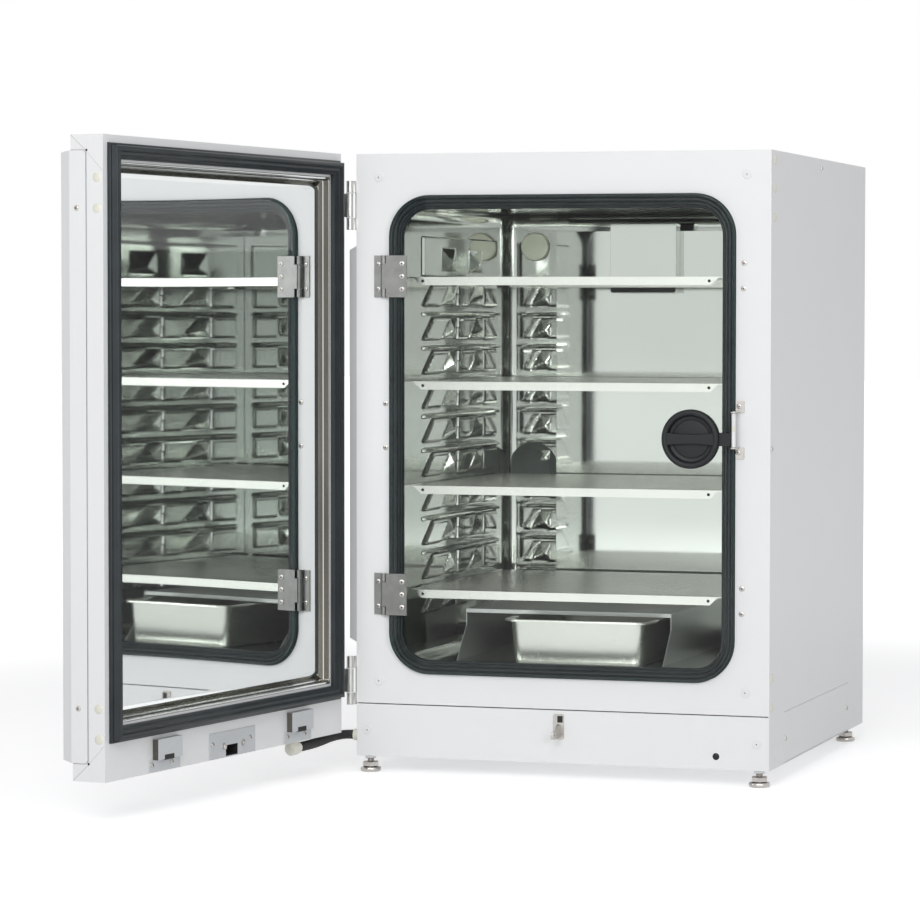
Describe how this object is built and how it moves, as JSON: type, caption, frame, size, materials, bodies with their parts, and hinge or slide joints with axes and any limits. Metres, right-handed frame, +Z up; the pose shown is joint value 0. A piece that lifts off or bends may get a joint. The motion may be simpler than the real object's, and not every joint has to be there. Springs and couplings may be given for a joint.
{
  "type": "laboratory incubator",
  "caption": "Insulated cabinet with a stainless chamber, perforated shelves, a latched glass inner door and an insulated outer door.",
  "frame": {"origin": "on the floor, midway between the four levelling feet", "axes": "+Z up, the front with its doors faces -Y, +X to the right seen from the front; the outer door is hinged at -X and stands 99 degrees open"},
  "size_m": [0.8083, 1.2858, 0.901],
  "materials": {
    "white_paint": "powder-coated, satin",
    "zinc_plate": "plain",
    "stainless": "polished",
    "foam": "rigid foam",
    "mirror_steel": "mirror-polished",
    "gasket_rubber": "matte",
    "hinge_steel": "satin",
    "nickel": "plated",
    "cream_plastic": "moulded",
    "white_plastic": "moulded",
    "black_plastic": "moulded",
    "black_rubber": "matte",
    "clear_glass": "tempered, clear",
    "brass": "turned"
  },
  "bodies": {
    "root": {"cabinet_shell": "white_paint", "base_pan": "zinc_plate", "back_panel": "white_paint", "front_frame": "white_paint", "lower_front_panel": "white_paint", "insulation": "foam", "chamber_liner": "stainless", "shelf_rests": "stainless", "duct_cover": "stainless", "fan_housing": "stainless", "fan_motor": "black_plastic", "sensor_disc": "black_plastic", "access_port_tube": "stainless", "pan_cover": "stainless", "chamber_gasket": "gasket_rubber", "glass_hinge_frame_leaves": "hinge_steel", "hinge_pins": "hinge_steel", "keeper_bracket": "nickel", "strike": "nickel", "cabinet_screws": "nickel", "caps_and_plugs": "cream_plastic", "service_panel": "white_paint", "outer_hinge_cabinet_halves": "hinge_steel", "hinge_side_rail": "black_rubber", "conduit_grommet": "cream_plastic", "conduit": "black_rubber", "gas_inlet": "brass", "power_inlet": "black_plastic", "rear_spacers": "white_plastic"},
    "outer_door": {"door_inner_frame": "white_paint", "door_outer_shell": "white_paint", "door_insulation": "foam", "door_liner": "mirror_steel", "door_gasket": "gasket_rubber", "door_front_cover": "white_paint", "control_panel": "black_plastic", "door_catches": "white_plastic", "lock_case": "white_plastic", "door_fasteners": "cream_plastic", "outer_hinge_door_leaves": "hinge_steel", "conduit_gland": "cream_plastic"},
    "lock_bolt": {"lock_bolt": "hinge_steel"},
    "glass_door": {"glass_pane": "clear_glass", "glass_hinge_door_leaves": "hinge_steel", "glass_leaf_screws": "nickel", "knob_bush": "black_plastic"},
    "knob": {"knob": "black_plastic"},
    "keeper_roller": {"keeper_roller": "cream_plastic"},
    "shelf_1": {"shelf_1": "stainless"},
    "shelf_2": {"shelf_2": "stainless"},
    "shelf_3": {"shelf_3": "stainless"},
    "shelf_4": {"shelf_4": "stainless"},
    "humidity_pan": {"humidity_pan": "stainless"},
    "fan": {"fan_impeller": "black_plastic"},
    "port_plug_inner": {"port_plug_inner": "cream_plastic"},
    "port_plug_outer": {"port_plug_outer": "cream_plastic"},
    "foot_front_left": {"foot_front_left": "nickel"},
    "foot_front_right": {"foot_front_right": "nickel"},
    "foot_rear_left": {"foot_rear_left": "nickel"},
    "foot_rear_right": {"foot_rear_right": "nickel"}
  },
  "joints": [
    {"name": "outer_door_hinge", "type": "hinge", "parent": "root", "child": "outer_door", "pos_m": [-0.318, -0.301, 0.45], "axis": [0, 0, -1], "range_deg": [-99.05, 70.95], "deforming": ["conduit"]},
    {"name": "lock_bolt_slide", "type": "slide", "parent": "outer_door", "child": "lock_bolt", "axis": [0.1573, 0.9876, 0], "range_m": [0, 0.012]},
    {"name": "glass_door_hinge", "type": "hinge", "parent": "root", "child": "glass_door", "pos_m": [-0.266, -0.3, 0.4935], "axis": [0, 0, -1], "range_deg": [0, 95]},
    {"name": "knob_turn", "type": "hinge", "parent": "glass_door", "child": "knob", "pos_m": [0.1983, -0.305, 0.4935], "axis": [0, -1, 0], "range_deg": [0, 90]},
    {"name": "keeper_roller_spin", "type": "hinge", "parent": "root", "child": "keeper_roller", "pos_m": [0.2605, -0.31, 0.506], "axis": [0, 0, 1], "continuous": true},
    {"name": "shelf_1_slide", "type": "slide", "parent": "root", "child": "shelf_1", "axis": [0, -1, 0], "range_m": [0, 0.02]},
    {"name": "shelf_2_slide", "type": "slide", "parent": "root", "child": "shelf_2", "axis": [0, -1, 0], "range_m": [0, 0.02]},
    {"name": "shelf_3_slide", "type": "slide", "parent": "root", "child": "shelf_3", "axis": [0, -1, 0], "range_m": [0, 0.02]},
    {"name": "shelf_4_slide", "type": "slide", "parent": "root", "child": "shelf_4", "axis": [0, -1, 0], "range_m": [0, 0.02]},
    {"name": "humidity_pan_slide", "type": "slide", "parent": "root", "child": "humidity_pan", "axis": [0, -1, 0], "range_m": [0, 0.02]},
    {"name": "fan_spin", "type": "hinge", "parent": "root", "child": "fan", "pos_m": [-0.003, 0.205, 0.753], "axis": [0, -1, 0], "continuous": true},
    {"name": "inner_port_plug_pull", "type": "slide", "parent": "root", "child": "port_plug_inner", "axis": [0, -1, 0], "range_m": [0, 0.03]},
    {"name": "outer_port_plug_pull", "type": "slide", "parent": "root", "child": "port_plug_outer", "axis": [0, 1, 0], "range_m": [0, 0.03]},
    {"name": "foot_front_left_turn", "type": "hinge", "parent": "root", "child": "foot_front_left", "pos_m": [-0.293, -0.282, 0], "axis": [0, 0, 1], "continuous": true},
    {"name": "foot_front_right_turn", "type": "hinge", "parent": "root", "child": "foot_front_right", "pos_m": [0.293, -0.282, 0], "axis": [0, 0, 1], "continuous": true},
    {"name": "foot_rear_left_turn", "type": "hinge", "parent": "root", "child": "foot_rear_left", "pos_m": [-0.293, 0.282, 0], "axis": [0, 0, 1], "continuous": true},
    {"name": "foot_rear_right_turn", "type": "hinge", "parent": "root", "child": "foot_rear_right", "pos_m": [0.293, 0.282, 0], "axis": [0, 0, 1], "continuous": true}
  ]
}
